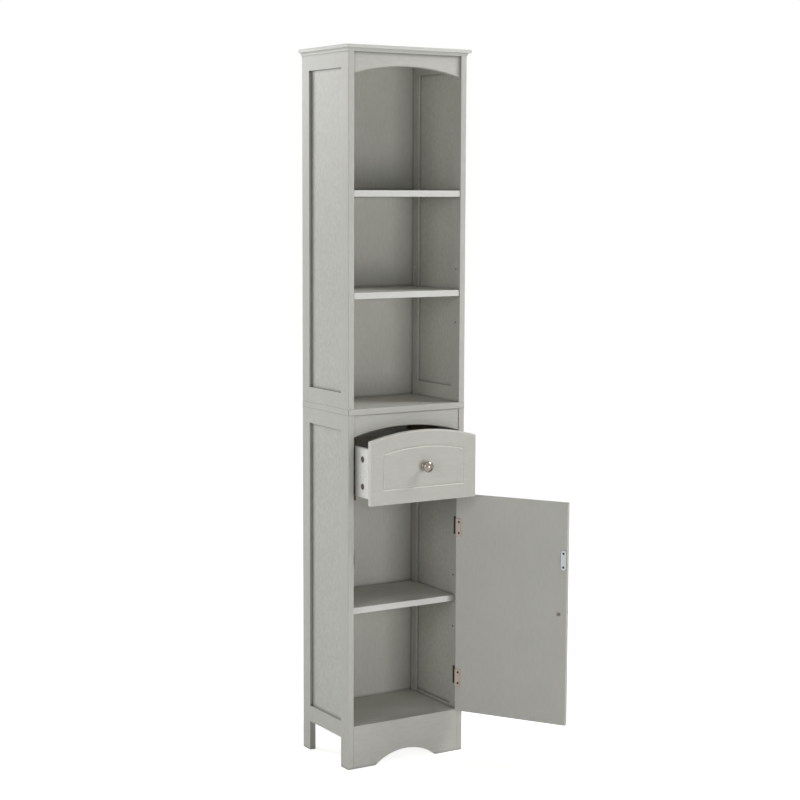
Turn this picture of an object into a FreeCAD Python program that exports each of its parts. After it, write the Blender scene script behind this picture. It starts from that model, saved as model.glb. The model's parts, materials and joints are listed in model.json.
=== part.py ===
import FreeCAD, Part
import math
import os

# Tall bathroom cabinet of two stacked modules: an open rack above, a drawer and a door below.
# Millimetres. X runs to the cabinet's right, Y to its back and Z up. The origin is on the floor,
# in the middle of the body's footprint. The drawer is drawn pulled out and the door wide open.

V = FreeCAD.Vector
X_AXIS, Y_AXIS, Z_AXIS = V(1, 0, 0), V(0, 1, 0), V(0, 0, 1)

# ---------------------------------------------------------------- body
overall_height = 1700.0
body_width = 322.0
body_depth = 223.0
board = 15.0                    # thickness of the horizontal boards
frame = 15.0                    # thickness of the side frames
lower_module_height = 848.0     # floor to the underside of the mid board
bottom_board_height = 89.0      # floor to the underside of the bottom board
fixed_shelf_rise = 492.0        # from the mid board's top face to a shelf's underside
upper_shelf_rise = 256.0
lower_shelf_rise = 268.5        # from the bottom board's top face
upper_shelf_setback = 2.0       # from the body's front plane
lower_shelf_setback = 15.0      # leaves room for the closed door and its knob screw
shelf_side_gap = 1.0
shelf_back_gap = 2.0
edge_round = 1.0                # rounding of the long front edges

# top board's overhang and moulded edge
top_side_overhang = 9.0
top_front_overhang = 7.0
moulding_foot = 1.5
moulding_cove = 6.0
moulding_step = 1.0
moulding_round = 1.5

# ---------------------------------------------------------------- side frames and back panels
stile_width = 35.0
rail_height = 36.0
foot_rail_height = 39.0
foot_rail_level = 72.0          # floor to the lower edge of the bottom rail between the legs
panel = 3.0                     # thickness of the side and back panels
panel_recess = 7.0              # from the outer face of a frame, and from the rear plane
groove_depth = 5.0
board_groove_depth = 4.0
panel_play = 0.3                # left at the bottom of each groove

# ---------------------------------------------------------------- valances and apron
front_board = 15.0              # thickness of the valances, the apron and the drawer front
upper_valance_setback = 6.0
upper_valance_mid = 29.7        # height at the middle of the arch
upper_valance_end = 50.0
lower_valance_setback = 2.0
lower_valance_mid = 32.0
lower_valance_end = 52.5
valance_round = 2.5
apron_arch_half = 85.0
apron_arch_rise = 29.0
apron_round = 1.5

# ---------------------------------------------------------------- drawer
drawer_level_drop = 203.0       # from the mid board's underside to the drawer front's lower edge
drawer_front_side_gap = 1.5
drawer_arch_gap = 1.5
drawer_front_round = 3.0
drawer_side_gap = 3.5           # from the post to the outer face of a drawer side
drawer_wall = 12.0
drawer_side_lift = 15.0         # from the front's lower edge to the sides' lower edge
drawer_side_height = 115.0
drawer_back_gap = 1.0           # from the drawer to the back panel when it is shut
drawer_bottom = 3.0
drawer_bottom_lift = 10.0
drawer_pulled = 78.0            # how far the drawer is drawn out
runner_width = 15.0
runner_side = 3.2
runner_lip = 12.0               # height of a runner's side above its base
running_gap = 0.3
runner_front_gap = 2.0
kicker_height = 15.0
kicker_gap = 1.0

# routed groove of the drawer front and the door
groove_margin = 37.0
rout_width = 6.5
rout_depth = 2.4

# ---------------------------------------------------------------- door and hinges
door_thickness = 12.0
door_foot_gap = 2.0
door_head_gap = 2.0
door_free_gap = 1.5
hinge_gap = 2.5
door_round = 1.5
door_open_angle = 122.0
hinge_axis_out = 2.7            # from the body's front plane forward to the pin
hinge_height = 44.0
hinge_leaf = 1.0
hinge_barrel_radius = 2.4
hinge_pin_radius = 1.0
hinge_pin_play = 0.05
hinge_knuckles = 5
knuckle_gap = 0.2
hinge_sweep_gap = 0.3
pin_head_radius = 1.9
pin_head = 0.8
hinge_end_distance = 82.5       # from the door's end to the middle of a hinge
door_leaf_reach = 13.3
frame_leaf_reach = 18.0
leaf_screw_pitch = 27.0
leaf_screw_inset = 7.5

# ---------------------------------------------------------------- catch
catch_drop = 138.0              # from the door's top to the middle of the strike plate
strike_width = 13.7
strike_length = 48.0
strike_plate = 1.2
strike_inset = 9.0
strike_screw_pitch = 33.0
catch_width = 12.0
catch_depth = 12.0
catch_length = 44.0
catch_gap = 0.3
catch_screw_pitch = 35.0
magnet_length = 24.0
magnet_width = 6.0
magnet_depth = 9.0

# ---------------------------------------------------------------- knobs
knob_radius = 13.5
knob_projection = 25.0
knob_base_radius = 7.5
knob_base = 1.5
knob_neck_radius = 5.2
knob_neck_height = 7.0
knob_rim_radius = 12.3
knob_rim_low = 15.0
knob_rim_high = 19.0
knob_bore_depth = 11.0
door_knob_inset = 19.5
knob_screw_radius = 2.0
knob_screw_bite = 9.0
knob_screw_head_radius = 4.2
knob_screw_head = 1.8
knob_screw_round = 0.7

# ---------------------------------------------------------------- fasteners
hole_play = 0.05                # around a screw, pin or dowel in its hole
hole_end_play = 0.5             # beyond its end
small_head_radius = 2.8
small_shank_radius = 1.5
large_head_radius = 3.8
large_shank_radius = 2.0
recess_width = 0.9
recess_depth = 0.8
recess_reach = 0.6              # half length of the cross, as a share of the head's radius
leaf_screw_length = 10.0
catch_screw_length = 22.0
runner_screw_length = 26.0
runner_screw_inset = 10.0       # from a stile's inner edge
mid_screw_length = 45.0
mid_screw_offset = 4.0          # from the middle of a stile outwards
drawer_back_screw_length = 35.0
bracket_screw_length = 12.0
dowel_radius = 3.0
dowel_length = 24.0
dowel_edge = 7.0                # from a rail's outer edge to its first dowel
dowel_pitch = 12.0
valance_dowel_shares = (0.25, 0.75)
apron_dowel_shares = (0.35, 0.75)
cam_radius = 7.5
cam_play = 0.1
cam_sink = 0.3                  # a cam's face lies this far under the board's face
cam_skin = 2.7                  # board left behind a cam's hole
cam_setback = 24.0              # from a shelf's end to the middle of its cams
rail_cam_setback = 20.0
drawer_cam_setback = 29.6
drawer_cam_end = 25.5           # from a drawer side's edges to its cams
bolt_head_radius = 2.8
bolt_head = 3.0
bolt_neck_radius = 2.0
bolt_tunnel_radius = 3.0
bolt_thread_radius = 3.0
bolt_bite = 11.0
rail_cam_from_front = 26.5      # from a rail's front end to its front cam
rail_cam_from_back = 64.5       # from a rail's back end to its back cam
foot_cam_inset = 26.5           # from a bottom rail's ends to the cams beside it

shelf_pin_radius = 2.5
shelf_pin_in = 9.0
shelf_pin_out = 8.0
shelf_pin_hole = 10.0
shelf_pin_step = 64.0
upper_pin_front = 18.5          # from the front plane to the front pins
upper_pin_back = 23.5           # from the rear plane to the back pins
lower_pin_front = 20.5
lower_pin_back = 27.5

bracket_width = 20.0
bracket_plate = 2.0
bracket_reach = 16.0
bracket_drop = 24.0
bracket_hole_radius = 2.5
bracket_hole_drop = 16.0
back_hole_radius = 4.0

# ---------------------------------------------------------------- places worked out from them
front = -body_depth / 2
rear = body_depth / 2
half_width = body_width / 2
half_opening = half_width - frame
rail_half = body_depth / 2 - stile_width
rail_cam_places = (rail_cam_from_front - rail_half, rail_half - rail_cam_from_back)
foot_cam_places = (foot_cam_inset - rail_half, rail_half - foot_cam_inset)
frame_middle = half_width - frame / 2
top_level = overall_height - board
mid_level = lower_module_height
mid_top = mid_level + board
bottom_level = bottom_board_height
bottom_top = bottom_level + board
fixed_shelf_level = mid_top + fixed_shelf_rise
upper_shelf_level = mid_top + upper_shelf_rise
lower_shelf_level = bottom_top + lower_shelf_rise
back_face = rear - panel_recess - panel

drawer_level = mid_level - drawer_level_drop
drawer_half_width = half_opening - drawer_front_side_gap
drawer_side_outer = half_opening - drawer_side_gap
drawer_side_inner = drawer_side_outer - drawer_wall
drawer_side_level = drawer_level + drawer_side_lift
drawer_side_top = drawer_side_level + drawer_side_height
drawer_front_back = front + front_board
drawer_rear = back_face - drawer_back_gap

door_low = bottom_top + door_foot_gap
door_high = drawer_level - door_head_gap
door_left = -(half_opening - door_free_gap)
door_right = half_opening - hinge_gap
door_inner = front + door_thickness
axis_x = half_opening - hinge_gap / 2
axis_y = front - hinge_axis_out
strike_x = door_left + strike_inset
catch_level = door_high - catch_drop
rout_radius = (rout_width ** 2 / 4 + rout_depth ** 2) / (2 * rout_depth)

pieces = {}
holes = {}


def add(node, *shapes):
    """Put solids into a node."""
    pieces.setdefault(node, []).extend(shapes)


def drill(tool, *nodes):
    """Remember a shape to cut from every piece of some nodes."""
    for node in nodes:
        holes.setdefault(node, []).append(tool)


def box(x0, x1, y0, y1, z0, z1):
    """A box between two corners, given in any order."""
    x0, x1 = sorted((x0, x1))
    y0, y1 = sorted((y0, y1))
    z0, z1 = sorted((z0, z1))
    return Part.makeBox(x1 - x0, y1 - y0, z1 - z0, V(x0, y0, z0))


def placed(shape, at, along):
    """A copy of a shape drawn up the Z axis, set at a point and turned to a direction."""
    copy = shape.copy()
    copy.Placement = FreeCAD.Placement(at, FreeCAD.Rotation(Z_AXIS, along))
    return copy


def round_edges(shape, radius, along, **places):
    """Round the straight edges that run along an axis at the given places on other axes."""
    def picked(edge):
        if not isinstance(edge.Curve, Part.Line) or abs(edge.Curve.Direction.dot(along)) < 0.999:
            return False
        middle = edge.CenterOfMass
        return all(min(abs(getattr(middle, axis) - place) for place in wanted) < 0.01
                   for axis, wanted in places.items())
    return shape.makeFillet(radius, [edge for edge in shape.Edges if picked(edge)])


# ---------------------------------------------------------------- fasteners

def screw_shape(head_radius, shank_radius, length, play=0.0):
    """A countersunk screw with its face at the origin and its point up the Z axis."""
    head = Part.makeCone(head_radius + play, shank_radius + play, head_radius - shank_radius)
    shank = Part.makeCylinder(shank_radius + play, length - shank_radius + play)
    tip = Part.makeCone(shank_radius + play, play, shank_radius, V(0, 0, length - shank_radius + play))
    return head.fuse([shank, tip])


def cross_recess(radius):
    """The cross cut into a screw's face."""
    half = recess_width / 2
    return box(-radius, radius, -half, half, 0, recess_depth).fuse(
        box(-half, half, -radius, radius, 0, recess_depth))


def drive_screw(node, at, along, head_radius, shank_radius, length, through):
    """Set a screw with its face at a point and drill the pieces that it goes through."""
    screw = screw_shape(head_radius, shank_radius, length).cut(cross_recess(head_radius * recess_reach))
    add(node, placed(screw, at, along))
    drill(placed(screw_shape(head_radius, shank_radius, length, hole_play), at, along), *through)


def dowel(at, along, nodes, into=dowel_length / 2):
    """Set a dowel across a joint, as far in the second node as its last value says."""
    start = at + along * (into - dowel_length)
    add("frame_dowels", Part.makeCylinder(dowel_radius, dowel_length, start, along))
    hole_start = start - along * hole_end_play
    hole = Part.makeCylinder(dowel_radius + hole_play, dowel_length + 2 * hole_end_play, hole_start, along)
    drill(hole, *nodes)


def cam_joint(cam_node, bolt_node, face, into, toward, thickness, setback, nodes):
    """A cam lock in a board's face and the bolt that it pulls, screwed into the next board."""
    skin = cam_skin * thickness / board
    cam_height = thickness - cam_sink - skin
    axis_point = face + into * (thickness / 2)
    slot = placed(cross_recess(cam_radius * recess_reach), V(0, 0, cam_sink), Z_AXIS)
    cam = placed(Part.makeCylinder(cam_radius, cam_height, V(0, 0, cam_sink)).cut(slot), face, into)
    head_room = bolt_head / 2 + hole_end_play
    tunnel_start = axis_point - toward * head_room
    tunnel_length = setback + head_room
    tunnel = Part.makeCylinder(bolt_tunnel_radius, tunnel_length, tunnel_start, toward)
    add(cam_node, cam.cut(tunnel))
    head = Part.makeCylinder(bolt_head_radius, bolt_head, axis_point - toward * (bolt_head / 2), toward)
    neck = Part.makeCylinder(bolt_neck_radius, setback, axis_point, toward)
    mate = axis_point + toward * setback
    thread = Part.makeCylinder(bolt_thread_radius - hole_play, bolt_bite, mate, toward)
    add(bolt_node, head.fuse([neck, thread]))
    drill(Part.makeCylinder(cam_radius + cam_play, cam_sink + cam_height + cam_play, face, into), nodes[0])
    drill(tunnel, nodes[0])
    drill(Part.makeCylinder(bolt_thread_radius, bolt_bite + hole_end_play, mate, toward), nodes[1])


# ---------------------------------------------------------------- boards

def moulded_side(out, across, sign):
    """Edges of the top board's outline on one side, from its underside up and over the round."""
    def at(reach, height):
        return across * (sign * reach) + Z_AXIS * (top_level + height)
    lip = out - moulding_cove - moulding_step
    cove_top = moulding_foot + moulding_cove
    bend = math.sqrt(0.5)
    cove_middle = at(lip + moulding_cove * (1 - bend), moulding_foot + moulding_cove * bend)
    round_start = board - moulding_round
    round_middle = at(out - moulding_round * (1 - bend), round_start + moulding_round * bend)
    return [
        Part.LineSegment(at(lip, 0), at(lip, moulding_foot)),
        Part.Arc(at(lip, moulding_foot), cove_middle, at(lip + moulding_cove, cove_top)),
        Part.LineSegment(at(lip + moulding_cove, cove_top), at(out, cove_top)),
        Part.LineSegment(at(out, cove_top), at(out, round_start)),
        Part.Arc(at(out, round_start), round_middle, at(out - moulding_round, board)),
    ]


def outline_solid(curves, along):
    """A closed outline pushed along a vector."""
    edges = Part.sortEdges([curve.toShape() for curve in curves])[0]
    return Part.Face(Part.Wire(edges)).extrude(along)


def make_top_board():
    side_out = half_width + top_side_overhang
    front_out = -front + top_front_overhang
    right = moulded_side(side_out, X_AXIS, 1)
    left = moulded_side(side_out, X_AXIS, -1)
    across = right + left + [
        Part.LineSegment(left[0].StartPoint, right[0].StartPoint),
        Part.LineSegment(left[-1].EndPoint, right[-1].EndPoint),
    ]
    sides = outline_solid(across, Y_AXIS * (front_out + rear))
    sides.translate(Y_AXIS * -front_out)
    edge = moulded_side(front_out, Y_AXIS, -1)
    foot_back, head_back = V(0, rear, top_level), V(0, rear, overall_height)
    lengthwise = edge + [
        Part.LineSegment(edge[0].StartPoint, foot_back),
        Part.LineSegment(foot_back, head_back),
        Part.LineSegment(head_back, edge[-1].EndPoint),
    ]
    whole = outline_solid(lengthwise, X_AXIS * (2 * side_out))
    whole.translate(X_AXIS * -side_out)
    add("top_board", sides.common(whole))


def make_boards():
    make_top_board()
    mid = box(-half_width, half_width, front, rear, mid_level, mid_top)
    mid = round_edges(mid, edge_round, X_AXIS, y=[front])
    add("mid_board", mid)
    bottom = box(-half_opening, half_opening, front, rear, bottom_level, bottom_top)
    add("bottom_board", round_edges(bottom, edge_round, X_AXIS, y=[front], z=[bottom_top]))


def make_shelf(node, level, half, y_front, y_back):
    shelf = box(-half, half, y_front, y_back, level, level + board)
    add(node, round_edges(shelf, edge_round, X_AXIS, y=[y_front]))


def make_shelves():
    upper_front = front + upper_shelf_setback
    make_shelf("fixed_shelf", fixed_shelf_level, half_opening, upper_front, back_face)
    half = half_opening - shelf_side_gap
    back = back_face - shelf_back_gap
    make_shelf("upper_adjustable_shelf", upper_shelf_level, half, upper_front, back)
    make_shelf("lower_adjustable_shelf", lower_shelf_level, half, front + lower_shelf_setback, back)
    pin_rows = (
        ("upper", upper_shelf_level, front + upper_pin_front, rear - upper_pin_back),
        ("lower", lower_shelf_level, front + lower_pin_front, rear - lower_pin_back),
    )
    for module, level, y_front, y_back in pin_rows:
        for side_name, side in (("left", -1), ("right", 1)):
            for stile, y in (("front_stile", y_front), ("back_stile", y_back)):
                make_pin(module, side_name, side, stile, y, level)


def make_pin(module, side_name, side, stile, y, level):
    """A shelf pin, half of it let into the shelf's underside, and its row of three holes."""
    stile_node = f"{module}_{side_name}_{stile}"
    outward = X_AXIS * side
    start = V(side * (half_opening - shelf_pin_out), y, level)
    add("shelf_pins", Part.makeCylinder(shelf_pin_radius, shelf_pin_out + shelf_pin_in, start, outward))
    slot_start = start - outward * hole_end_play
    slot = Part.makeCylinder(shelf_pin_radius + hole_play, shelf_pin_out + hole_end_play,
                             slot_start, outward)
    drill(slot, f"{module}_adjustable_shelf")
    for step in (-1, 0, 1):
        mouth = V(side * half_opening, y, level + step * shelf_pin_step)
        hole = Part.makeCylinder(shelf_pin_radius + hole_play, shelf_pin_hole, mouth, outward)
        drill(hole, stile_node)


# ---------------------------------------------------------------- side frames and back panels

def make_side_frame(module, side_name, side, foot, head, low_rail, high_rail):
    """Two stiles, two rails and the panel that floats in their grooves."""
    prefix = f"{module}_{side_name}_"
    inner, outer = side * half_opening, side * half_width
    panel_outer = side * (half_width - panel_recess)
    panel_inner = side * (half_width - panel_recess - panel)
    panel_half = rail_half + groove_depth
    low, high = low_rail[1] - groove_depth, high_rail[0] + groove_depth
    groove = box(panel_inner, panel_outer, -panel_half, panel_half, low, high)
    stiles = (("front_stile", front, front + stile_width), ("back_stile", rear, rear - stile_width))
    for name, outside, inside in stiles:
        stile = box(inner, outer, outside, inside, foot, head)
        add(prefix + name, round_edges(stile, edge_round, Z_AXIS, y=[outside]).cut(groove))
    for name, (rail_low, rail_high) in (("bottom_rail", low_rail), ("top_rail", high_rail)):
        add(prefix + name, box(inner, outer, -rail_half, rail_half, rail_low, rail_high).cut(groove))
    play = panel_play
    add(prefix + "side_panel", box(panel_inner, panel_outer, play - panel_half, panel_half - play,
                                   low + play, high - play))
    for name, outer_edge, inward in (("bottom_rail", low_rail[0], 1), ("top_rail", high_rail[1], -1)):
        for step in (0, 1):
            z = outer_edge + inward * (dowel_edge + step * dowel_pitch)
            for stile, y in (("front_stile", -1), ("back_stile", 1)):
                at = V(side * frame_middle, y * rail_half, z)
                dowel(at, Y_AXIS * y, (prefix + name, prefix + stile))


def make_side_frames():
    upper_rails = (mid_top, mid_top + rail_height), (top_level - rail_height, top_level)
    lower_rails = ((foot_rail_level, foot_rail_level + foot_rail_height),
                   (mid_level - rail_height, mid_level))
    for side_name, side in (("left", -1), ("right", 1)):
        make_side_frame("upper", side_name, side, mid_top, top_level, *upper_rails)
        make_side_frame("lower", side_name, side, 0, mid_level, *lower_rails)


def make_back_panel(module, low, high, low_board, high_board):
    """A back panel, held in the back stiles' grooves and the boards' grooves."""
    outer_face = back_face + panel
    reach = half_opening + groove_depth
    half = reach - panel_play
    low_groove, high_groove = low - board_groove_depth, high + board_groove_depth
    add(f"{module}_back_panel", box(-half, half, back_face, outer_face,
                                    low_groove + panel_play, high_groove - panel_play))
    slot = box(-reach, reach, back_face, outer_face, low_groove, high_groove)
    drill(slot, f"{module}_left_back_stile", f"{module}_right_back_stile", low_board, high_board)


# ---------------------------------------------------------------- valances and apron

def arch_radius(half, rise):
    """Radius of an arc from its half chord and its rise."""
    return (half ** 2 + rise ** 2) / (2 * rise)


def arched_board(half, low, high, arc_middle, y_front, arch_on_top):
    """A board whose top or bottom edge is an arc: low and high are the heights at its ends."""
    arc_ends = high if arch_on_top else low
    flat = low if arch_on_top else high
    left_arc, right_arc = V(-half, y_front, arc_ends), V(half, y_front, arc_ends)
    left_flat, right_flat = V(-half, y_front, flat), V(half, y_front, flat)
    return outline_solid([
        Part.Arc(left_arc, V(0, y_front, arc_middle), right_arc),
        Part.LineSegment(right_arc, right_flat),
        Part.LineSegment(right_flat, left_flat),
        Part.LineSegment(left_flat, left_arc),
    ], Y_AXIS * front_board)


def round_front(shape, y_front, radius, only_arcs):
    """Round the edges that lie in a board's front face."""
    def picked(edge):
        if only_arcs and not isinstance(edge.Curve, Part.Circle):
            return False
        return all(abs(vertex.Point.y - y_front) < 0.01 for vertex in edge.Vertexes)
    return shape.makeFillet(radius, [edge for edge in shape.Edges if picked(edge)])


def make_valance(module, high, mid_height, end_height, setback):
    """An arched valance between the front stiles, with two dowels at each end."""
    node = f"{module}_valance"
    y_front = front + setback
    valance = arched_board(half_opening, high - end_height, high, high - mid_height, y_front, False)
    add(node, round_front(valance, y_front, valance_round, True))
    for side_name, side in (("left", -1), ("right", 1)):
        for share in valance_dowel_shares:
            at = V(side * half_opening, y_front + front_board / 2, high - end_height * share)
            dowel(at, X_AXIS * side, (node, f"{module}_{side_name}_front_stile"), bolt_bite)


def make_apron():
    apron = box(-half_opening, half_opening, front, front + front_board, 0, bottom_level)
    radius = arch_radius(apron_arch_half, apron_arch_rise)
    arch = Part.makeCylinder(radius, front_board, V(0, front, apron_arch_rise - radius), Y_AXIS)
    add("front_apron", round_front(apron.cut(arch), front, apron_round, True))
    middle = front + front_board / 2
    for side_name, side in (("left", -1), ("right", 1)):
        for share in apron_dowel_shares:
            at = V(side * half_opening, middle, bottom_level * share)
            dowel(at, X_AXIS * side, ("front_apron", f"lower_{side_name}_front_stile"), bolt_bite)
        at = V(side * apron_arch_half, middle, bottom_level)
        dowel(at, Z_AXIS, ("front_apron", "bottom_board"), bolt_bite)


# ---------------------------------------------------------------- drawer

def routed_line(start, end):
    """A stretch of the routed groove with round ends, its middle line just outside a face."""
    run = end - start
    tube = Part.makeCylinder(rout_radius, run.Length, start, run)
    return tube.fuse([Part.makeSphere(rout_radius, start), Part.makeSphere(rout_radius, end)])


def routed_arc(left, middle, right, centre):
    """A stretch of the routed groove along an arc in a face."""
    path = Part.Wire([Part.Arc(left, middle, right).toShape()])
    tangent = Y_AXIS.cross(left - centre)
    section = Part.Wire([Part.Circle(left, tangent, rout_radius).toShape()])
    return path.makePipeShell([section], True, True)


def make_drawer_front():
    valance_arch = arch_radius(half_opening, lower_valance_end - lower_valance_mid)
    arch_top = mid_level - lower_valance_mid
    centre_z = arch_top - valance_arch
    radius = valance_arch - drawer_arch_gap
    end_z = centre_z + math.sqrt(radius ** 2 - drawer_half_width ** 2)
    crown = centre_z + radius
    body = arched_board(drawer_half_width, drawer_level, end_z, crown, front, True)
    add("drawer_front", round_front(body, front, drawer_front_round, False))

    face = front - (rout_radius - rout_depth)
    rout_half = drawer_half_width - groove_margin + rout_width / 2
    low = drawer_level + groove_margin
    arc = radius - groove_margin
    high = centre_z + math.sqrt(arc ** 2 - rout_half ** 2)
    low_left, low_right = V(-rout_half, face, low), V(rout_half, face, low)
    high_left, high_right = V(-rout_half, face, high), V(rout_half, face, high)
    top = routed_arc(high_left, V(0, face, centre_z + arc), high_right, V(0, face, centre_z))
    for stretch in (routed_line(low_left, low_right), routed_line(low_left, high_left),
                    routed_line(low_right, high_right), top):
        drill(stretch, "drawer_front")
    return (drawer_level + crown) / 2


def make_drawer():
    knob_level = make_drawer_front()
    bottom_low = drawer_side_level + drawer_bottom_lift
    for side_name, side in (("left", -1), ("right", 1)):
        node = f"drawer_{side_name}_side"
        outer, inner = side * drawer_side_outer, side * drawer_side_inner
        add(node, box(outer, inner, drawer_front_back, drawer_rear, drawer_side_level, drawer_side_top))
        for z in (drawer_side_level + drawer_cam_end, drawer_side_top - drawer_cam_end):
            face = V(outer, drawer_front_back + drawer_cam_setback, z)
            cam_joint("drawer_cam_locks", "drawer_cam_bolts", face, X_AXIS * -side, -Y_AXIS,
                      drawer_wall, drawer_cam_setback, (node, "drawer_front"))
            at = V(outer, drawer_rear - drawer_wall / 2, z)
            drive_screw("drawer_back_screws", at, X_AXIS * -side, large_head_radius, large_shank_radius,
                        drawer_back_screw_length, (node, "drawer_back"))
    back_front = drawer_rear - drawer_wall
    add("drawer_back", box(-drawer_side_inner, drawer_side_inner, back_front, drawer_rear,
                           drawer_side_level, drawer_side_top))
    reach = drawer_side_inner + board_groove_depth
    ends = drawer_front_back - board_groove_depth, back_front + board_groove_depth
    slot = box(-reach, reach, ends[0], ends[1], bottom_low, bottom_low + drawer_bottom)
    drill(slot, "drawer_front", "drawer_left_side", "drawer_right_side", "drawer_back")
    add("drawer_bottom", box(panel_play - reach, reach - panel_play, ends[0] + panel_play,
                             ends[1] - panel_play, bottom_low, bottom_low + drawer_bottom))
    make_knob("drawer", V(0, front, knob_level), front_board, "drawer_front")


def make_runners():
    """Runners under the drawer's sides and kickers above them, screwed to the stiles."""
    inner, outer = half_opening - runner_width, half_opening
    y_front, y_back = drawer_front_back + runner_front_gap, back_face - shelf_back_gap
    base_top = drawer_side_level - running_gap
    kicker_low = drawer_side_top + kicker_gap
    for side_name, side in (("left", -1), ("right", 1)):
        base = box(side * inner, side * outer, y_front, y_back, drawer_level, base_top)
        lip = box(side * (outer - runner_side), side * outer, y_front, y_back, drawer_level,
                  base_top + runner_lip)
        add("drawer_runners", base.fuse(lip).removeSplitter())
        kicker_high = kicker_low + kicker_height
        add("drawer_kickers", box(side * inner, side * outer, y_front, y_back, kicker_low, kicker_high))
        rows = (("drawer_runners", (drawer_level + base_top) / 2),
                ("drawer_kickers", kicker_low + kicker_height / 2))
        for node, z in rows:
            for stile, y in (("front_stile", -rail_half - runner_screw_inset),
                             ("back_stile", rail_half + runner_screw_inset)):
                drive_screw("frame_screws", V(side * inner, y, z), X_AXIS * side, large_head_radius,
                            large_shank_radius, runner_screw_length,
                            (node, f"lower_{side_name}_{stile}"))


# ---------------------------------------------------------------- knobs

def knob_shape():
    """A mushroom knob turned about the Z axis, standing on the origin."""
    dome = arch_radius(knob_rim_radius, knob_projection - knob_rim_high)
    share = knob_rim_radius / 2
    dome_middle = knob_projection - dome + math.sqrt(dome ** 2 - share ** 2)
    foot, head = V(0, 0, 0), V(0, 0, knob_projection)
    base_low, base_high = V(knob_base_radius, 0, 0), V(knob_base_radius, 0, knob_base)
    rim_low, rim_high = V(knob_rim_radius, 0, knob_rim_low), V(knob_rim_radius, 0, knob_rim_high)
    edges = [
        Part.LineSegment(foot, base_low),
        Part.LineSegment(base_low, base_high),
        Part.Arc(base_high, V(knob_neck_radius, 0, knob_neck_height), rim_low),
        Part.Arc(rim_low, V(knob_radius, 0, (knob_rim_low + knob_rim_high) / 2), rim_high),
        Part.Arc(rim_high, V(share, 0, dome_middle), head),
        Part.LineSegment(head, foot),
    ]
    face = Part.Face(Part.Wire([edge.toShape() for edge in edges]))
    knob = face.revolve(foot, Z_AXIS, 360)
    return knob.cut(Part.makeCylinder(knob_screw_radius + hole_play, knob_bore_depth))


def make_knob(prefix, at, thickness, panel_node):
    """A knob on a front face and the machine screw that holds it from behind."""
    add(f"{prefix}_knob", placed(knob_shape(), at, -Y_AXIS))
    inner = at + Y_AXIS * thickness
    head = Part.makeCylinder(knob_screw_head_radius, knob_screw_head)
    rim = [edge for edge in head.Edges if edge.CenterOfMass.z > knob_screw_head / 2
           and isinstance(edge.Curve, Part.Circle)]
    head = head.makeFillet(knob_screw_round, rim)
    cross = placed(cross_recess(knob_screw_head_radius * recess_reach), V(0, 0, knob_screw_head), -Z_AXIS)
    screw_head = placed(head.cut(cross), inner, Y_AXIS)
    length = thickness + knob_screw_bite
    shank = Part.makeCylinder(knob_screw_radius, length, inner, -Y_AXIS)
    add(f"{prefix}_knob_screw", screw_head.fuse(shank))
    drill(Part.makeCylinder(knob_screw_radius + hole_play, thickness, inner, -Y_AXIS), panel_node)


# ---------------------------------------------------------------- door

def make_door_panel():
    body = box(door_left, door_right, front, door_inner, door_low, door_high)
    add("door_panel", round_front(body, front, door_round, False))
    face = front - (rout_radius - rout_depth)
    left, right = door_left + groove_margin, door_right - groove_margin
    low, high = door_low + groove_margin, door_high - groove_margin
    corners = [V(left, face, low), V(right, face, low), V(right, face, high), V(left, face, high)]
    for start, end in zip(corners, corners[1:] + corners[:1]):
        drill(routed_line(start, end), "door_panel")


def make_hinge(middle):
    """A wrap hinge: two leaves with rolled knuckles on one pin."""
    low, high = middle - hinge_height / 2, middle + hinge_height / 2
    frame_leaf = box(half_opening - hinge_leaf, half_opening, axis_y, front + frame_leaf_reach, low, high)
    edge_plate = box(door_right, door_right + hinge_leaf, axis_y, door_inner + hinge_leaf, low, high)
    flange = box(door_right - door_leaf_reach, door_right + hinge_leaf, door_inner,
                 door_inner + hinge_leaf, low, high)
    leaves = [frame_leaf, edge_plate.fuse(flange)]
    knuckle = (hinge_height - (hinge_knuckles - 1) * knuckle_gap) / hinge_knuckles
    for count in range(hinge_knuckles):
        start = V(axis_x, axis_y, low + count * (knuckle + knuckle_gap))
        roll = Part.makeCylinder(hinge_barrel_radius, knuckle, start)
        sweep = Part.makeCylinder(hinge_barrel_radius + hinge_sweep_gap, knuckle + 2 * knuckle_gap,
                                  start - Z_AXIS * knuckle_gap)
        owner = count % 2
        leaves[owner] = leaves[owner].fuse(roll)
        leaves[1 - owner] = leaves[1 - owner].cut(sweep)
    bore = Part.makeCylinder(hinge_pin_radius + hinge_pin_play, hinge_height, V(axis_x, axis_y, low))
    add("hinge_frame_leaves", leaves[0].cut(bore).removeSplitter())
    add("hinge_door_leaves", leaves[1].cut(bore).removeSplitter())
    pin = Part.makeCylinder(hinge_pin_radius, hinge_height, V(axis_x, axis_y, low))
    heads = [Part.makeCylinder(pin_head_radius, pin_head, V(axis_x, axis_y, z))
             for z in (low - pin_head, high)]
    add("hinge_pins", pin.fuse(heads))
    for z in (middle - leaf_screw_pitch / 2, middle + leaf_screw_pitch / 2):
        at = V(door_right - leaf_screw_inset, door_inner + hinge_leaf, z)
        drive_screw("door_screws", at, -Y_AXIS, small_head_radius, small_shank_radius,
                    leaf_screw_length, ("hinge_door_leaves", "door_panel"))
        at = V(half_opening - hinge_leaf, front + frame_leaf_reach / 2, z)
        drive_screw("frame_screws", at, X_AXIS, small_head_radius, small_shank_radius,
                    leaf_screw_length, ("hinge_frame_leaves", "lower_right_front_stile"))


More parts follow.
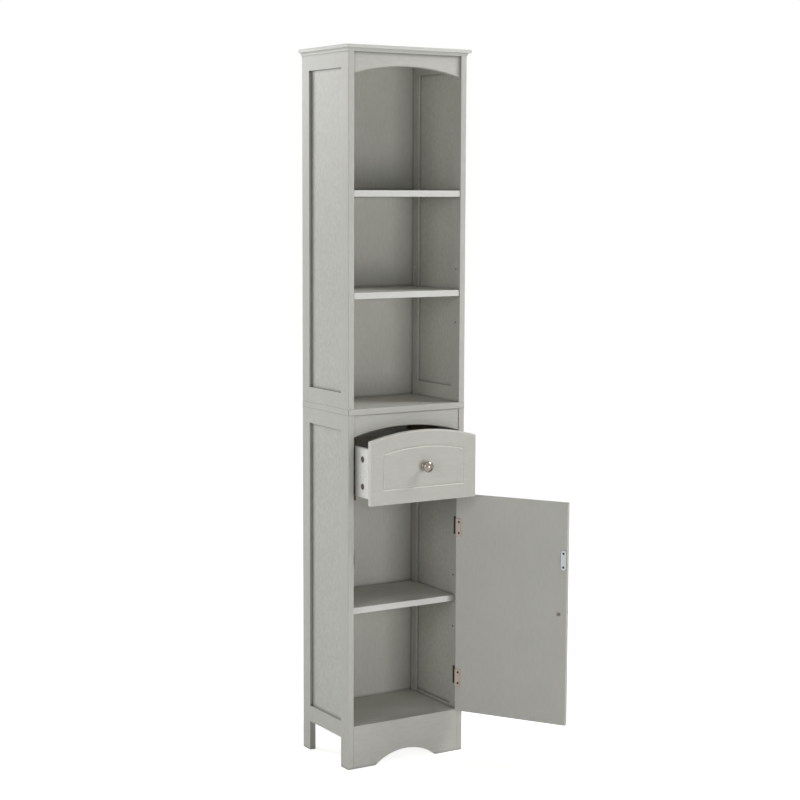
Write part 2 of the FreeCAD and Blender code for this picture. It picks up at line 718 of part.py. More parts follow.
def make_strike_plate():
    half = strike_length / 2 - strike_width / 2
    inner, outer = door_inner, door_inner + strike_plate
    plate = box(strike_x - strike_width / 2, strike_x + strike_width / 2, inner, outer,
                catch_level - half, catch_level + half)
    ends = [Part.makeCylinder(strike_width / 2, strike_plate, V(strike_x, inner, catch_level + z), Y_AXIS)
            for z in (-half, half)]
    add("strike_plate", plate.fuse(ends).removeSplitter())
    for z in (catch_level - strike_screw_pitch / 2, catch_level + strike_screw_pitch / 2):
        drive_screw("door_screws", V(strike_x, outer, z), -Y_AXIS, small_head_radius,
                    small_shank_radius, leaf_screw_length, ("strike_plate", "door_panel"))


def make_catch():
    """The magnetic catch on the left post, just behind the closed door's strike plate."""
    y_face = door_inner + strike_plate + catch_gap
    x_face = -half_opening + catch_width
    half = catch_length / 2
    add("catch_case", box(-half_opening, x_face, y_face, y_face + catch_depth,
                          catch_level - half, catch_level + half))
    middle = -half_opening + catch_width / 2
    magnet = box(middle - magnet_width / 2, middle + magnet_width / 2, y_face, y_face + magnet_depth,
                 catch_level - magnet_length / 2, catch_level + magnet_length / 2)
    add("catch_magnet", magnet)
    drill(magnet, "catch_case")
    for z in (catch_level - catch_screw_pitch / 2, catch_level + catch_screw_pitch / 2):
        drive_screw("frame_screws", V(x_face, y_face + catch_depth / 2, z), -X_AXIS, small_head_radius,
                    small_shank_radius, catch_screw_length, ("catch_case", "lower_left_front_stile"))


def make_door():
    make_door_panel()
    for middle in (door_low + hinge_end_distance, door_high - hinge_end_distance):
        make_hinge(middle)
    make_strike_plate()
    knob_at = V(door_left + door_knob_inset, front, (door_low + door_high) / 2)
    make_knob("door", knob_at, door_thickness, "door_panel")


# ---------------------------------------------------------------- fixings of the body

def fix_boards():
    for side_name, side in (("left", -1), ("right", 1)):
        inner = side * half_opening
        for y in rail_cam_places:
            for module, level, mate in (("upper", top_level, "top_board"), ("lower", mid_level, "mid_board")):
                cam_joint("cam_locks", "cam_bolts", V(inner, y, level - rail_cam_setback), X_AXIS * side,
                          Z_AXIS, frame, rail_cam_setback, (f"{module}_{side_name}_top_rail", mate))
        shelf_cam = inner - side * cam_setback
        for y in foot_cam_places:
            cam_joint("cam_locks", "cam_bolts", V(shelf_cam, y, bottom_level), Z_AXIS, X_AXIS * side,
                      board, cam_setback, ("bottom_board", f"lower_{side_name}_bottom_rail"))
        for stile, y in (("front_stile", front + stile_width / 2), ("back_stile", rear - stile_width / 2)):
            cam_joint("cam_locks", "cam_bolts", V(shelf_cam, y, fixed_shelf_level), Z_AXIS, X_AXIS * side,
                      board, cam_setback, ("fixed_shelf", f"upper_{side_name}_{stile}"))
            out = math.copysign(mid_screw_offset, y)
            drive_screw("mid_board_screws", V(side * frame_middle, y + out, mid_level), Z_AXIS,
                        large_head_radius, large_shank_radius, mid_screw_length,
                        ("mid_board", f"upper_{side_name}_{stile}"))


def make_wall_bracket():
    """A small angle under the top board, with the hole for a screw into the wall."""
    half = bracket_width / 2
    leg = box(-half, half, back_face - bracket_reach, back_face, top_level - bracket_plate, top_level)
    plate = box(-half, half, back_face - bracket_plate, back_face, top_level - bracket_drop, top_level)
    add("wall_bracket", leg.fuse(plate).removeSplitter())
    start = V(0, back_face - bracket_plate, top_level - bracket_hole_drop)
    drill(Part.makeCylinder(bracket_hole_radius, bracket_plate, start, Y_AXIS), "wall_bracket")
    panel_start = start + Y_AXIS * bracket_plate
    drill(Part.makeCylinder(back_hole_radius, panel, panel_start, Y_AXIS), "upper_back_panel")
    at = V(0, back_face - (bracket_reach + bracket_plate) / 2, top_level - bracket_plate)
    drive_screw("frame_screws", at, Z_AXIS, small_head_radius, small_shank_radius,
                bracket_screw_length, ("wall_bracket", "top_board"))


# ---------------------------------------------------------------- build and write

def shown(node, shape):
    """Move a piece from the shut cabinet to the open pose that is drawn."""
    if node in door_nodes:
        return shape.rotated(V(axis_x, axis_y, 0), Z_AXIS, door_open_angle)
    if node in drawer_nodes:
        return shape.translated(Y_AXIS * -drawer_pulled)
    return shape


door_nodes = ("door_panel", "hinge_door_leaves", "door_screws", "door_knob", "door_knob_screw",
              "strike_plate")
drawer_nodes = ("drawer_front", "drawer_left_side", "drawer_right_side", "drawer_back", "drawer_bottom",
                "drawer_cam_locks", "drawer_cam_bolts", "drawer_back_screws", "drawer_knob",
                "drawer_knob_screw")

make_boards()
make_shelves()
make_side_frames()
make_back_panel("upper", mid_top, top_level, "mid_board", "top_board")
make_back_panel("lower", bottom_top, mid_level, "bottom_board", "mid_board")
make_valance("upper", top_level, upper_valance_mid, upper_valance_end, upper_valance_setback)
make_valance("lower", mid_level, lower_valance_mid, lower_valance_end, lower_valance_setback)
make_apron()
make_drawer()
make_runners()
make_door()
make_catch()
fix_boards()
make_wall_bracket()

os.makedirs("parts", exist_ok=True)
for node, shapes in pieces.items():
    if node in holes:
        shapes = [shape.cut(holes[node]) for shape in shapes]
    solids = [shown(node, solid) for shape in shapes for solid in shape.Solids]
    if not all(solid.isValid() for solid in solids):
        print("not valid:", node)
    result = solids[0] if len(solids) == 1 else Part.makeCompound(solids)
    result.exportStep(f"parts/{node}.step")
    print(f"{node}: {len(solids)} solid(s), {result.Volume:.0f} mm3")
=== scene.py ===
"""Tall bathroom cabinet: the finish of every board and fitting, its knobs, and a white studio.

Lengths are metres in the studio and millimetres in the finishes and the knobs.
"""
import json
import math

import bpy
from mathutils import Matrix, Vector


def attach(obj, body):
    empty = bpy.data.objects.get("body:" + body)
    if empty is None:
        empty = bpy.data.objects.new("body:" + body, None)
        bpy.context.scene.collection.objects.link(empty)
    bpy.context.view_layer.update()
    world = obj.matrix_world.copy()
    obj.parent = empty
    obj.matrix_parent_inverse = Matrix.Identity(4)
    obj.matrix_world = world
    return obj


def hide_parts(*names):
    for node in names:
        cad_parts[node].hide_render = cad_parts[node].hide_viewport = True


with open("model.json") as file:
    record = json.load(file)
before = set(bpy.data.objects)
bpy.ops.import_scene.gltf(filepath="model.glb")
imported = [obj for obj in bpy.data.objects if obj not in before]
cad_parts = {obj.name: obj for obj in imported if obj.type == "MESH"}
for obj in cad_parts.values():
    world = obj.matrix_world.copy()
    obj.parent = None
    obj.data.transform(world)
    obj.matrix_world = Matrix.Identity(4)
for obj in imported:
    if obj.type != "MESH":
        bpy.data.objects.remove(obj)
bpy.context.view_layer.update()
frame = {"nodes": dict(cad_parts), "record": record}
MM = 0.001


# ------------------------------------------------------------------ camera

CAMERA_AT = Vector((-2.2546, -3.7542, 1.3730))
CAMERA_YAW = math.radians(31.519)
CAMERA_PITCH = math.radians(6.606)
CAMERA_ROLL = math.radians(0.221)
CAMERA_LENS = 81.98    # millimetres, on a sensor 36 mm wide


def place_camera():
    """The viewpoint that makes the cabinet's straight edges fall where the photograph has them."""
    ahead = Vector((math.sin(CAMERA_YAW) * math.cos(CAMERA_PITCH),
                    math.cos(CAMERA_YAW) * math.cos(CAMERA_PITCH), -math.sin(CAMERA_PITCH)))
    level = Vector((math.cos(CAMERA_YAW), -math.sin(CAMERA_YAW), 0))
    upright = level.cross(ahead)
    right = level * math.cos(CAMERA_ROLL) + upright * math.sin(CAMERA_ROLL)
    up = upright * math.cos(CAMERA_ROLL) - level * math.sin(CAMERA_ROLL)
    camera = bpy.data.objects.new("camera", bpy.data.cameras.new("camera"))
    bpy.context.scene.collection.objects.link(camera)
    camera.data.lens = CAMERA_LENS
    turn = Matrix((right, up, -ahead)).transposed()
    camera.matrix_world = Matrix.Translation(CAMERA_AT) @ turn.to_4x4()
    bpy.context.scene.camera = camera


# ------------------------------------------------------------------ nodes and colours

def add_node(tree, kind, settings=None, links=None):
    """Add a node, set its options and the values of its inputs, and link inputs to other nodes.

    A link to a node means its first output, and a link to a socket means that socket.
    """
    node = tree.nodes.new(kind)
    for name, value in (settings or {}).items():
        if isinstance(name, str) and hasattr(node, name):
            setattr(node, name, value)
        else:
            node.inputs[name].default_value = value
    for name, source in (links or {}).items():
        socket = source if isinstance(source, bpy.types.NodeSocket) else source.outputs[0]
        tree.links.new(socket, node.inputs[name])
    return node


def linear(code):
    """An sRGB hex colour as linear red, green, blue and alpha."""
    channels = [int(code[place:place + 2], 16) / 255 for place in (1, 3, 5)]
    return [c / 12.92 if c <= 0.04045 else ((c + 0.055) / 1.055) ** 2.4 for c in channels] + [1]


def new_material(name):
    """A material with an empty tree, and that tree."""
    material = bpy.data.materials.new(name)
    material.use_nodes = True
    material.node_tree.nodes.clear()
    return material, material.node_tree


# ------------------------------------------------------------------ studio

# name, place, the point that it faces, width, height, watts
LIGHTS = (
    ("high_right_softbox", (1.73, -1.00, 2.60), (0, 0, 1.3), 0.8, 0.8, 36),
    ("front_softbox", (0.42, -2.95, 0.75), (0, 0, 0.9), 1.2, 1.4, 28),
    ("left_softbox", (-2.60, -1.50, 1.40), (0, 0, 0.9), 1.2, 1.4, 20),
    ("high_rear_softbox", (-1.00, 1.73, 1.90), (0, 0, 1.3), 0.8, 0.8, 21),
    ("low_rear_softbox", (-2.12, 2.12, 0.50), (0, 0, 0.9), 1.2, 1.4, 21),
)
WHITE = (1, 1, 1, 1)
ROOM_LIGHT = 0.02             # the sky's strength for all but the background rays
FLOOR_SIZE = 14
FLOOR_PAINT = "#EDEDEB"
FLOOR_GLOW = (0.78, 1.0)      # beside the cabinet, dimmed there as painted shade, and far from it
FLOOR_FADE = (0.5, 1.7)       # where the glow starts to rise, and where it is full


def hang_lights():
    """The softboxes, which light the cabinet and stay out of the picture."""
    for name, place, target, width, height, watts in LIGHTS:
        lamp = bpy.data.lights.new(name, "AREA")
        lamp.shape = "RECTANGLE"
        lamp.size = width
        lamp.size_y = height
        lamp.energy = watts
        holder = bpy.data.objects.new(name, lamp)
        holder.location = place
        aim = Vector(target) - Vector(place)
        holder.rotation_euler = aim.to_track_quat("-Z", "Y").to_euler()
        holder.visible_camera = False
        bpy.context.scene.collection.objects.link(holder)


def background_rays(tree):
    """1 for the rays that meet a white background: the camera's, and those in gloss and glass."""
    path = add_node(tree, "ShaderNodeLightPath")
    seen = add_node(tree, "ShaderNodeMath", {"operation": "MAXIMUM"},
                    {0: path.outputs["Is Camera Ray"], 1: path.outputs["Is Glossy Ray"]})
    return add_node(tree, "ShaderNodeMath", {"operation": "MAXIMUM"},
                    {0: seen, 1: path.outputs["Is Transmission Ray"]})


def paint_sky():
    """White to the eye and in reflections, and a faint even light on everything else."""
    world = bpy.data.worlds.new("studio")
    bpy.context.scene.world = world
    world.use_nodes = True
    tree = world.node_tree
    tree.nodes.clear()
    dim = add_node(tree, "ShaderNodeBackground", {"Color": WHITE, "Strength": ROOM_LIGHT})
    bright = add_node(tree, "ShaderNodeBackground", {"Color": WHITE, "Strength": 1.0})
    mix = add_node(tree, "ShaderNodeMixShader", None,
                   {0: background_rays(tree), 1: dim, 2: bright})
    add_node(tree, "ShaderNodeOutputWorld", None, {"Surface": mix})


def lay_floor():
    """A white studio floor, lifted to white, and less near the cabinet as painted shade."""
    bpy.ops.mesh.primitive_plane_add(size=FLOOR_SIZE, location=(0, 0, 0))
    floor = bpy.context.active_object
    floor.name = "floor"
    material, tree = new_material("matte_white_studio_floor")
    place = add_node(tree, "ShaderNodeTexCoord").outputs["Object"]
    away = add_node(tree, "ShaderNodeVectorMath", {"operation": "LENGTH"}, {0: place})
    rise = add_node(tree, "ShaderNodeMapRange",
                    {"From Min": FLOOR_FADE[0], "From Max": FLOOR_FADE[1],
                     "To Min": FLOOR_GLOW[0], "To Max": FLOOR_GLOW[1]},
                    {"Value": away.outputs["Value"]})
    lift = add_node(tree, "ShaderNodeMath", {"operation": "MULTIPLY"},
                    {0: background_rays(tree), 1: rise})
    matte = add_node(tree, "ShaderNodeBsdfDiffuse", {"Color": linear(FLOOR_PAINT)})
    glow = add_node(tree, "ShaderNodeEmission", {"Color": WHITE}, {"Strength": lift})
    both = add_node(tree, "ShaderNodeAddShader", None, {0: matte, 1: glow})
    add_node(tree, "ShaderNodeOutputMaterial", None, {"Surface": both})
    floor.data.materials.append(material)


# ------------------------------------------------------------------ painted and foiled boards

PAINT = "#C6C6BF"
TOP_PAINT = "#D8D8D2"
FRONT_BAND = "#E0E0DB"
FOIL = "#F4F4EF"
MOTTLE_WIDTH = 6.0            # of the spray mottle
CLOUD_WIDTH = 90.0            # of the slow drift in tone over a whole board
CLOUD_DEPTH = 0.015
PEEL_WIDTH = 2.4              # real orange peel is near 1 mm, drawn coarser so that it shows
PEEL_HEIGHT = 0.2
EGGSHELL = (0.44, 0.60)       # least and most roughness
NOISE_RANGE = (0.3, 0.7)      # nearly all that a noise texture gives
# Cosines of the angle between a rounded arris and its flat, where the arris's painted highlight or
# dirt is full,
ARRIS_FULLY_TURNED = 0.8
# between a surface and the front or the back, where a board's face ends and its edge starts,
FACE_ENDS, EDGE_STARTS = 0.99, 0.88
# and between a surface and the front, where the paler band of a shelf's edge fades in.
BAND_ENDS, BAND_STARTS = 0.6, 0.8


def front_edge_tone(tree, colour, band):
    """The tone of a board whose front edge has a paler band than its faces."""
    normal = add_node(tree, "ShaderNodeNewGeometry").outputs["Normal"]
    forward = add_node(tree, "ShaderNodeVectorMath",
                       {"operation": "DOT_PRODUCT", 1: (0, -1, 0)}, {0: normal})
    share = add_node(tree, "ShaderNodeMapRange", {"From Min": BAND_ENDS, "From Max": BAND_STARTS},
                     {"Value": forward.outputs["Value"]})
    tone = add_node(tree, "ShaderNodeMix",
                    {"data_type": "RGBA", 6: linear(colour), 7: linear(band)}, {0: share})
    return tone.outputs[2]


def sheen_dirt_and_shade_tones(tree, arris, arris_sheen_and_dirt, edge_highlight_gain, painted_shade_reach, exposed, painted_shade_tone):
    """Tone factors: painted highlight or dirt on arrises, painted highlight on edges, painted
    shade in corners.
    """
    flat = add_node(tree, "ShaderNodeNewGeometry").outputs["Normal"]
    turn = add_node(tree, "ShaderNodeVectorMath", {"operation": "DOT_PRODUCT"},
                    {0: arris, 1: flat})
    # Painted highlight on the arrises where the factor is above 1, and dirt along joints where it
    # is below.
    arris_sheen_and_dirt_tone = add_node(tree, "ShaderNodeMapRange",
                      {"From Min": 1.0, "From Max": ARRIS_FULLY_TURNED, "To Min": 1.0, "To Max": arris_sheen_and_dirt},
                      {"Value": turn.outputs["Value"]})
    # Painted highlight on all that faces neither front nor back.
    facing = add_node(tree, "ShaderNodeSeparateXYZ", None, {0: flat}).outputs["Y"]
    frontal = add_node(tree, "ShaderNodeMath", {"operation": "ABSOLUTE"}, {0: facing})
    edge_highlight = add_node(tree, "ShaderNodeMapRange",
                      {"From Min": FACE_ENDS, "From Max": EDGE_STARTS, "To Min": 1.0,
                       "To Max": edge_highlight_gain}, {"Value": frontal})
    # Painted shade: inside corners darken by how little of the sky each point sees.
    shelter = add_node(tree, "ShaderNodeAmbientOcclusion",
                       {"samples": 4, "Distance": painted_shade_reach * MM})
    painted_shade = add_node(tree, "ShaderNodeMapRange",
                      {"From Min": exposed[0], "From Max": exposed[1], "To Min": painted_shade_tone,
                       "To Max": 1.0}, {"Value": shelter.outputs["AO"]})
    return arris_sheen_and_dirt_tone, edge_highlight, painted_shade


def sprayed_board(name, colour, grain, mottle_depth=0.04, band=None, edge_highlight_gain=1.0, arris_sheen_and_dirt=1.22,
                  arris_reach=1.3, painted_shade_reach=8.0, exposed=(0.0, 0.95), painted_shade_tone=0.12):
    """Lacquer sprayed on fibreboard: eggshell, with a soft mottle drawn out along the sanding.

    Inside corners are darkened as painted shade over a reach of nook millimetres, down to
    painted_shade_tone where the exposed share is lowest. The arrises change tone by rub over a
    reach of
    arris_reach millimetres: where rub is above 1 this is a painted highlight, and below 1 dirt
    along joints. All that faces neither front nor back changes by edge_highlight_gain, a painted
    highlight. A band is a paler front edge.
    """
    material, tree = new_material(name)
    place = add_node(tree, "ShaderNodeTexCoord").outputs["Object"]
    stretched = add_node(tree, "ShaderNodeMapping", {"Scale": grain}, {"Vector": place})
    mottle = add_node(tree, "ShaderNodeTexNoise",
                      {"Scale": 1 / (MOTTLE_WIDTH * MM), "Detail": 4.0, "Roughness": 0.6},
                      {"Vector": stretched})
    cloud = add_node(tree, "ShaderNodeTexNoise", {"Scale": 1 / (CLOUD_WIDTH * MM), "Detail": 2.0},
                     {"Vector": place})
    peel = add_node(tree, "ShaderNodeTexNoise", {"Scale": 1 / (PEEL_WIDTH * MM), "Detail": 2.0},
                    {"Vector": place})
    arris = add_node(tree, "ShaderNodeBevel", {"samples": 6, "Radius": arris_reach * MM})
    shade, drift = (
        add_node(tree, "ShaderNodeMapRange",
                 {"From Min": NOISE_RANGE[0], "From Max": NOISE_RANGE[1], "To Min": 1 - depth,
                  "To Max": 1 + depth}, {"Value": noise})
        for noise, depth in ((mottle, mottle_depth), (cloud, CLOUD_DEPTH)))
    tone = shade
    for factor in (drift, *sheen_dirt_and_shade_tones(tree, arris, arris_sheen_and_dirt, edge_highlight_gain, painted_shade_reach, exposed, painted_shade_tone)):
        tone = add_node(tree, "ShaderNodeMath", {"operation": "MULTIPLY"}, {0: tone, 1: factor})
    tint = add_node(tree, "ShaderNodeVectorMath", {"operation": "SCALE", 0: linear(colour)[:3]},
                    {"Scale": tone})
    if band:
        tree.links.new(front_edge_tone(tree, colour, band), tint.inputs[0])
    gloss = add_node(tree, "ShaderNodeMapRange", {"To Min": EGGSHELL[0], "To Max": EGGSHELL[1]},
                     {"Value": mottle})
    bump = add_node(tree, "ShaderNodeBump", {"Strength": 0.15, "Distance": PEEL_HEIGHT * MM},
                    {"Height": peel, "Normal": arris})
    paint = add_node(tree, "ShaderNodeBsdfPrincipled", {"Specular IOR Level": 0.35},
                     {"Base Color": tint, "Roughness": gloss, "Normal": bump})
    add_node(tree, "ShaderNodeOutputMaterial", None, {"Surface": paint})
    return material


# ------------------------------------------------------------------ bare wood and hardboard

PORE_WIDTH = 0.6
PORE_DEPTH = 0.1
RING_RANGE = (0.35, 0.65)     # of the noise: palest, and darkest


def sawn_timber(name, pale, dark, grain, ring):
    """Bare wood or hardboard: pale with darker growth rings or fibres along the grain."""
    material, tree = new_material(name)
    place = add_node(tree, "ShaderNodeTexCoord").outputs["Object"]
    stretched = add_node(tree, "ShaderNodeMapping", {"Scale": grain}, {"Vector": place})
    rings = add_node(tree, "ShaderNodeTexNoise",
                     {"Scale": 1 / (ring * MM), "Detail": 5.0, "Distortion": 0.6},
                     {"Vector": stretched})
    pores = add_node(tree, "ShaderNodeTexNoise", {"Scale": 1 / (PORE_WIDTH * MM), "Detail": 2.0},
                     {"Vector": stretched})
    share = add_node(tree, "ShaderNodeMapRange",
                     {"From Min": RING_RANGE[0], "From Max": RING_RANGE[1]}, {"Value": rings})
    wood = add_node(tree, "ShaderNodeMix",
                    {"data_type": "RGBA", 6: linear(pale), 7: linear(dark)}, {0: share})
    bump = add_node(tree, "ShaderNodeBump", {"Strength": 0.25, "Distance": PORE_DEPTH * MM},
                    {"Height": pores})
    shader = add_node(tree, "ShaderNodeBsdfPrincipled", {"Roughness": 0.7},
                      {"Base Color": wood.outputs[2], "Normal": bump})
    add_node(tree, "ShaderNodeOutputMaterial", None, {"Surface": shader})
    return material


# ------------------------------------------------------------------ metals and plastic

METAL_ARRIS = 0.25
METAL_TONE = (0.93, 1.04)     # darkest and brightest specks
MOULD_GRAIN = 0.7
MOULD_DEPTH = 0.05
MOULD_TONE = (0.95, 1.05)


def plated_metal(name, colour, roughness, spread, speck, dent):
    """Plated or cast metal: one tone, its polish varying by spread over specks of a given size."""
    material, tree = new_material(name)
    place = add_node(tree, "ShaderNodeTexCoord").outputs["Object"]
    specks = add_node(tree, "ShaderNodeTexNoise", {"Scale": 1 / (speck * MM), "Detail": 4.0},
                      {"Vector": place})
    gloss, shade = (
        add_node(tree, "ShaderNodeMapRange",
                 {"From Min": NOISE_RANGE[0], "From Max": NOISE_RANGE[1], "To Min": least,
                  "To Max": most}, {"Value": specks})
        for least, most in ((roughness - spread, roughness + spread), METAL_TONE))
    tint = add_node(tree, "ShaderNodeVectorMath", {"operation": "SCALE", 0: linear(colour)[:3]},
                    {"Scale": shade})
    arris = add_node(tree, "ShaderNodeBevel", {"samples": 4, "Radius": METAL_ARRIS * MM})
    bump = add_node(tree, "ShaderNodeBump", {"Strength": 0.3, "Distance": dent * MM},
                    {"Height": specks, "Normal": arris})
    metal = add_node(tree, "ShaderNodeBsdfPrincipled", {"Metallic": 1.0},
                     {"Base Color": tint, "Roughness": gloss, "Normal": bump})
    add_node(tree, "ShaderNodeOutputMaterial", None, {"Surface": metal})
    return material


def moulded_plastic(name, colour, roughness):
    """Injection-moulded plastic with the fine grain of a spark-eroded mould."""
    material, tree = new_material(name)
    place = add_node(tree, "ShaderNodeTexCoord").outputs["Object"]
    grain = add_node(tree, "ShaderNodeTexNoise", {"Scale": 1 / (MOULD_GRAIN * MM), "Detail": 3.0},
                     {"Vector": place})
    shade = add_node(tree, "ShaderNodeMapRange",
                     {"To Min": MOULD_TONE[0], "To Max": MOULD_TONE[1]}, {"Value": grain})
    tint = add_node(tree, "ShaderNodeVectorMath", {"operation": "SCALE", 0: linear(colour)[:3]},
                    {"Scale": shade})
    bump = add_node(tree, "ShaderNodeBump", {"Strength": 0.3, "Distance": MOULD_DEPTH * MM},
                    {"Height": grain})
    plastic = add_node(tree, "ShaderNodeBsdfPrincipled", {"Roughness": roughness},
                       {"Base Color": tint, "Normal": bump})
    add_node(tree, "ShaderNodeOutputMaterial", None, {"Surface": plastic})
    return material


# ------------------------------------------------------------------ finishes

def make_finishes():
    """One material for each slot in the record, and for each of the finishes in OWN_FINISH."""
    upright, lengthwise, crosswise = (1, 1, 0.3), (0.3, 1, 1), (1, 0.3, 1)
    return {
        # Water-based lacquer on fibreboard, sanded along each board, so the mottle runs that way.
        "painted_upright": sprayed_board("lacquered_fibreboard_upright", PAINT, upright),
        "painted_lengthwise": sprayed_board("lacquered_fibreboard_lengthwise", PAINT, lengthwise),
        "painted_crosswise": sprayed_board("lacquered_fibreboard_crosswise", PAINT, crosswise),
        # Thin hardboard takes the lacquer less evenly.
        "painted_back": sprayed_board("lacquered_hardboard_back", PAINT, upright, 0.05),
        "painted_panel": sprayed_board("lacquered_hardboard_side", PAINT, (1, 1, 0.6), 0.10),
        # The drawer front's routed edges have a painted highlight, paler than its face, and a
        # short painted shade in its grooves.
        "painted_drawer": sprayed_board("lacquered_fibreboard_drawer_front", PAINT, lengthwise,
                                        0.03, edge_highlight_gain=1.32, painted_shade_reach=3.5, painted_shade_tone=0.35),
        "painted_door": sprayed_board("lacquered_fibreboard_door", PAINT, upright, 0.025),
        # The right-hand back stiles have a stronger painted highlight on the step beside their
        # panel, and a shorter, lighter painted shade in its corner.
        "stepped_stile": sprayed_board("lacquered_fibreboard_step", PAINT, upright, arris_sheen_and_dirt=1.7,
                                       painted_shade_reach=2.0, painted_shade_tone=0.3),
        # The shelves' front edges have a paler band than their faces.
        "banded_shelf": sprayed_board("lacquered_shelf_with_edge_band", PAINT, lengthwise,
                                      band=FRONT_BAND),
        # Dirt gathers along the joints between the two modules and the board that parts them.
        "joint_board": sprayed_board("lacquered_fibreboard_joint", PAINT, lengthwise, arris_sheen_and_dirt=0.35,
                                     arris_reach=2.4),
        # The top board is paler than the rest of the body.
        "painted_top": sprayed_board("lacquered_top_board", TOP_PAINT, lengthwise),
        # Off-white paper foil on chipboard, whose chips show through as a light speckle.
        # Its painted shade reaches far, darkening the foil wherever other parts stand near it,
        # such as beside the posts.
        "drawer_white": sprayed_board("foiled_chipboard", FOIL, (1, 1, 1), 0.07, painted_shade_reach=60.0,
                                      exposed=(0.5, 0.92), painted_shade_tone=0.2),
        # Turned beech is pale with close rings. The planed poplar is drawn dark as painted shade,
        # so that the gaps beside the drawer stay dark.
        "bare_beech": sawn_timber("turned_beech", "#D8B98C", "#C09A68", (0.1, 1, 1), 1.5),
        "bare_board": sawn_timber("planed_poplar", "#7A6A50", "#5B4C37", (1, 0.08, 1), 4.0),
        # Hardboard is pressed wood fibre, brown all through.
        "bare_hardboard": sawn_timber("bare_hardboard", "#5E4B3A", "#4C3B2D", (1, 1, 1), 2.0),
        # Bright zinc has a cold sheen, and die-cast zinc is duller and darker.
        "zinc_plate": plated_metal("bright_zinc_plate", "#B9BABA", 0.32, 0.08, 1.2, 0.01),
        "bright_plate": plated_metal("bright_zinc_strike", "#A4A8AA", 0.30, 0.08, 1.5, 0.01),
        "zinc_cast": plated_metal("die_cast_zinc", "#4E4843", 0.55, 0.10, 0.8, 0.03),
        # Nickel is warmer than zinc, and on the turned knobs it is polished nearly to a mirror.
        "nickel_pin": plated_metal("nickel_plated_steel_pin", "#C2BDB3", 0.30, 0.06, 1.0, 0.01),
        "satin_nickel": plated_metal("polished_nickel_knob", "#8C827A", 0.13, 0.03, 3.0, 0.005),
        # The hinges' nickel is thin over a copper flash, so they look pink beside the paint. The
        # leaves that face inwards are a darker copy of it, as painted shade.
        "hinge_nickel": plated_metal("thin_nickel_hinge", "#9B8F86", 0.38, 0.08, 1.5, 0.02),
        "shaded_hinge": plated_metal("shaded_nickel_hinge", "#5C554F", 0.45, 0.08, 1.5, 0.02),
        # Zinc without brightener is a dull grey, and the door's and frame's screws are a nearly
        # black steel.
        "dull_zinc": plated_metal("dull_zinc_screw", "#6F6B66", 0.5, 0.08, 0.8, 0.01),
        "dark_screw": plated_metal("near_black_steel_screw", "#3A352F", 0.5, 0.1, 0.6, 0.01),
        # The catch's plastic has a soft sheen, and its sintered ferrite is a dull near-black.
        "catch_plastic": moulded_plastic("moulded_catch_case", "#9C9A92", 0.45),
        "magnet_dark": moulded_plastic("sintered_ferrite", "#23221F", 0.75),
    }


# Pieces that look different from the rest of their slot.
OWN_FINISH = {
    "fixed_shelf": "banded_shelf",
    "upper_adjustable_shelf": "banded_shelf",
    "lower_adjustable_shelf": "banded_shelf",
    "top_board": "painted_top",
    "mid_board": "joint_board",
    "upper_right_back_stile": "stepped_stile",
    "lower_right_back_stile": "stepped_stile",
    "drawer_bottom": "bare_hardboard",
    # The frame leaves are a darker copy of the hinges' nickel, as painted shade.
    "hinge_frame_leaves": "shaded_hinge",
    "door_screws": "dark_screw",
    "door_knob_screw": "dull_zinc",
    "frame_screws": "dark_screw",
}


def finish_frame(finishes):
    """Give every piece of the frame its finish."""
    for part in frame["record"]["subparts"]:
        finish = OWN_FINISH.get(part["node"], part["material_slot"])
        for place in frame["nodes"][part["node"]].material_slots:
            place.material = finishes[finish]


# ------------------------------------------------------------------ knobs

KNOB_SIDES = 64
# Height above the front and radius of the turned profile.
KNOB_PROFILE = (
    (0.0, 7.2), (0.3, 7.5), (1.2, 7.5), (1.5, 7.2), (2.2, 6.4), (4.2, 5.5), (7.2, 5.25),
    (10.4, 6.2), (13.0, 8.6), (14.6, 11.0), (15.7, 12.7), (17.1, 13.5), (18.6, 13.2),
    (20.3, 11.9), (22.2, 9.4), (23.8, 6.4), (24.7, 3.2),
)
KNOB_CROWN = 25.0
KNOB_RING = KNOB_PROFILE[-1][0]    # height of the last ring, below the crown
TOUCH = 0.1                        # closer than this counts as in the same place
DOOR_OPEN = math.radians(122)      # how far the door is drawn open


def seat(node, outward):
    """The point where the axis of a turned piece leaves the surface that it stands on."""
    across = Vector((-outward.y, outward.x, 0))
    points = [vertex.co for vertex in frame["nodes"][node].data.vertices]
    sideways = [point.dot(across) for point in points]
    heights = [point.z for point in points]
    foot = min(point.dot(outward) for point in points)
    middle = (min(sideways) + max(sideways)) / 2
    return outward * foot + across * middle + Vector((0, 0, (min(heights) + max(heights)) / 2))


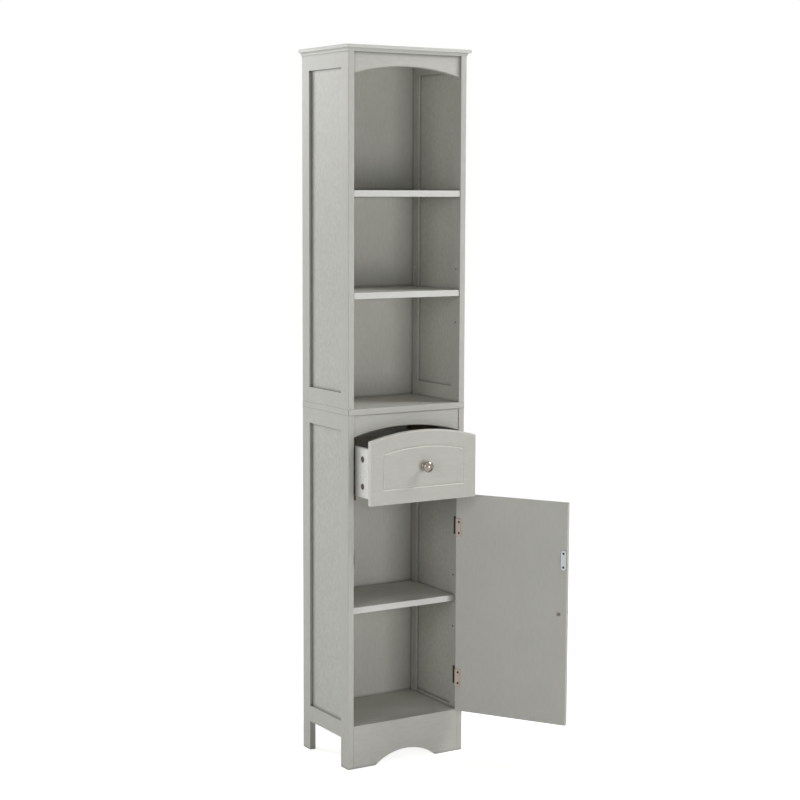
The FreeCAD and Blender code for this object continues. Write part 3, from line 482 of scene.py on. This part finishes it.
def draw_up(foot, outward):
    """Extrude the selected disc ring by ring, and turn its last face into a fan of triangles."""
    for (low, narrow), (high, wide) in zip(KNOB_PROFILE, KNOB_PROFILE[1:]):
        bpy.ops.mesh.extrude_region_move(
            TRANSFORM_OT_translate={"value": outward * ((high - low) * MM)})
        bpy.ops.transform.resize(value=(wide / narrow,) * 3,
                                 center_override=foot + outward * (high * MM))
    bpy.ops.mesh.poke()


def raise_crown(knob, foot, outward):
    """Lift the middle of the fan to the height of the crown."""
    bpy.ops.mesh.select_mode(type="VERT")
    bpy.ops.object.mode_set(mode="OBJECT")
    for vertex in knob.data.vertices:
        reach = knob.matrix_world @ vertex.co - foot
        on_axis = reach.cross(outward).length < TOUCH * MM
        vertex.select = on_axis and reach.dot(outward) > (KNOB_RING - TOUCH) * MM
    bpy.ops.object.mode_set(mode="EDIT")
    bpy.ops.transform.translate(value=outward * ((KNOB_CROWN - KNOB_RING) * MM))


def turn_knob(node, body, outward, finish):
    """A mushroom knob, drawn up ring by ring from its foot to its crown."""
    foot = seat(node, outward)
    bpy.ops.object.select_all(action="DESELECT")
    bpy.ops.mesh.primitive_circle_add(
        vertices=KNOB_SIDES, radius=KNOB_PROFILE[0][1] * MM, fill_type="NGON", location=foot,
        rotation=outward.to_track_quat("Z", "Y").to_euler())
    knob = bpy.context.active_object
    knob.name = f"{node}_turned"
    bpy.ops.object.mode_set(mode="EDIT")
    draw_up(foot, outward)
    raise_crown(knob, foot, outward)
    bpy.ops.mesh.select_all(action="SELECT")
    bpy.ops.mesh.normals_make_consistent(inside=False)
    bpy.ops.object.mode_set(mode="OBJECT")
    smooth = knob.modifiers.new("smooth", "SUBSURF")
    smooth.levels = smooth.render_levels = 1
    bpy.ops.object.modifier_apply(modifier=smooth.name)
    bpy.ops.object.transform_apply(location=True, rotation=True, scale=True)
    bpy.ops.object.shade_smooth()
    knob.data.materials.append(finish)
    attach(knob, body)
    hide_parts(node)


place_camera()
bpy.context.scene.view_settings.view_transform = "Standard"
paint_sky()
hang_lights()
lay_floor()
finishes = make_finishes()
finish_frame(finishes)
front_way = Vector((0, -1, 0))
door_way = Vector((math.sin(DOOR_OPEN), -math.cos(DOOR_OPEN), 0))
turn_knob("drawer_knob", "drawer", front_way, finishes["satin_nickel"])
turn_knob("door_knob", "door", door_way, finishes["satin_nickel"])
